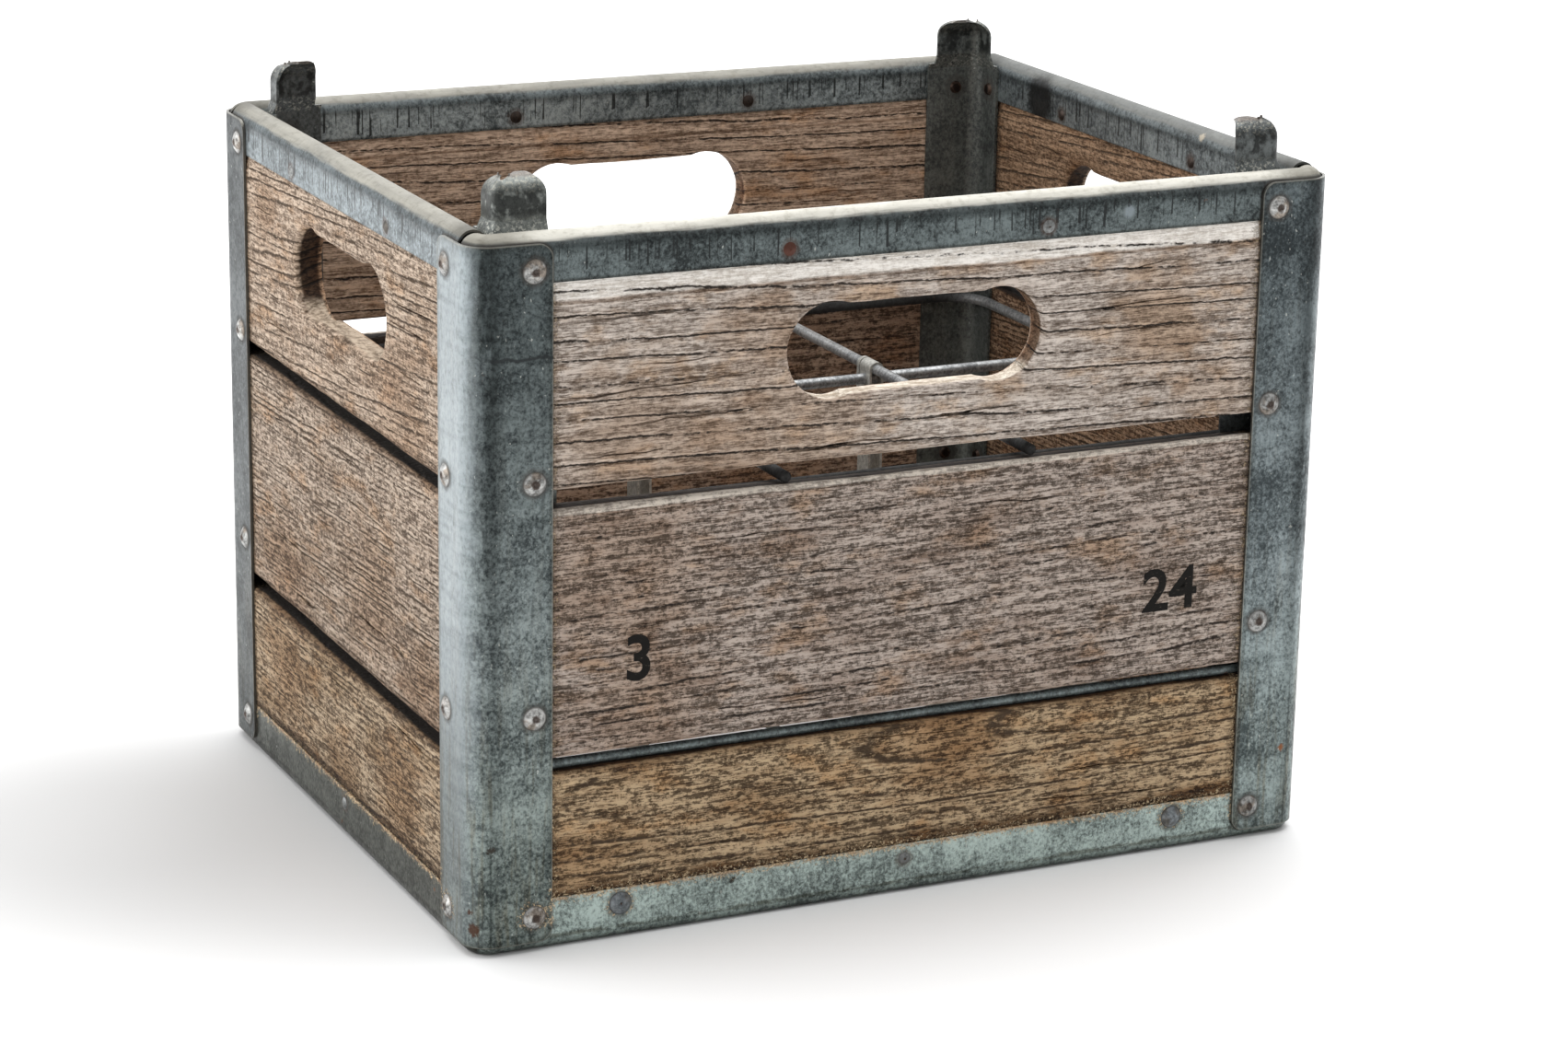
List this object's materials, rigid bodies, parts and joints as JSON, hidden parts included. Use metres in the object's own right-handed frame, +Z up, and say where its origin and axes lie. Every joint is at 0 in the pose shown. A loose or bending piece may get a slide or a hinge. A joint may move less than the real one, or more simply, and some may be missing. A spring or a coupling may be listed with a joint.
{
  "type": "wooden bottle crate",
  "caption": "Open wooden bottle crate with slatted walls, galvanised corner posts and rims, hand holes, stacking lugs and a wire divider",
  "frame": {"origin": "on the ground, under the middle of the crate's outline", "axes": "+Z up; +X along the crate's length, to the right when its lettered long wall is seen from outside; +Y from that front wall to the back wall"},
  "size_m": [0.3922, 0.3092, 0.3143],
  "materials": {
    "galvanised_sheet": "weathered galvanised sheet steel, mottled blue-grey",
    "dull_galvanised_sheet": "dull, dirty galvanised sheet steel",
    "weathered_grey_wood": "bare weathered ash or oak, grey-tan with dark grain cracks",
    "weathered_brown_wood": "bare weathered wood, darker brown-grey",
    "weathered_warm_wood": "bare weathered wood, warm brown with cathedral grain",
    "rivet_steel": "dull zinc-plated steel, slightly rusty",
    "rusty_steel": "rusty brown steel",
    "wire_steel": "light grey galvanised wire"
  },
  "bodies": {
    "root": {"corner_post_front_left": "galvanised_sheet", "corner_post_front_right": "galvanised_sheet", "corner_post_back_left": "galvanised_sheet", "corner_post_back_right": "galvanised_sheet", "inner_angle_front_left": "dull_galvanised_sheet", "inner_angle_front_right": "dull_galvanised_sheet", "inner_angle_back_left": "dull_galvanised_sheet", "inner_angle_back_right": "dull_galvanised_sheet", "rim_front": "galvanised_sheet", "rim_back": "galvanised_sheet", "rim_left": "galvanised_sheet", "rim_right": "galvanised_sheet", "base_rail_front": "dull_galvanised_sheet", "base_rail_back": "dull_galvanised_sheet", "base_rail_left": "dull_galvanised_sheet", "base_rail_right": "dull_galvanised_sheet", "top_board_front": "weathered_grey_wood", "top_board_back": "weathered_grey_wood", "top_board_left": "weathered_brown_wood", "top_board_right": "weathered_brown_wood", "middle_board_front": "weathered_grey_wood", "middle_board_back": "weathered_grey_wood", "middle_board_left": "weathered_brown_wood", "middle_board_right": "weathered_brown_wood", "bottom_board_front": "weathered_warm_wood", "bottom_board_back": "weathered_warm_wood", "bottom_board_left": "weathered_warm_wood", "bottom_board_right": "weathered_warm_wood", "divider_ring": "wire_steel", "divider_long_rod": "wire_steel", "divider_cross_rod_left": "wire_steel", "divider_cross_rod_right": "wire_steel", "divider_hanger_left": "wire_steel", "divider_hanger_right": "wire_steel", "lower_rod_front": "wire_steel", "lower_rod_back": "wire_steel", "lower_cross_rod_left": "wire_steel", "lower_cross_rod_right": "wire_steel", "bottom_strap_left": "dull_galvanised_sheet", "bottom_strap_right": "dull_galvanised_sheet", "bottom_strap_long": "dull_galvanised_sheet", "corner_rivets_front_left": "rivet_steel", "corner_rivets_front_right": "rivet_steel", "corner_rivets_back_left": "rivet_steel", "corner_rivets_back_right": "rivet_steel", "strap_rivets": "rivet_steel", "rim_nails": "rusty_steel", "rail_nails": "rusty_steel"}
  },
  "joints": []
}
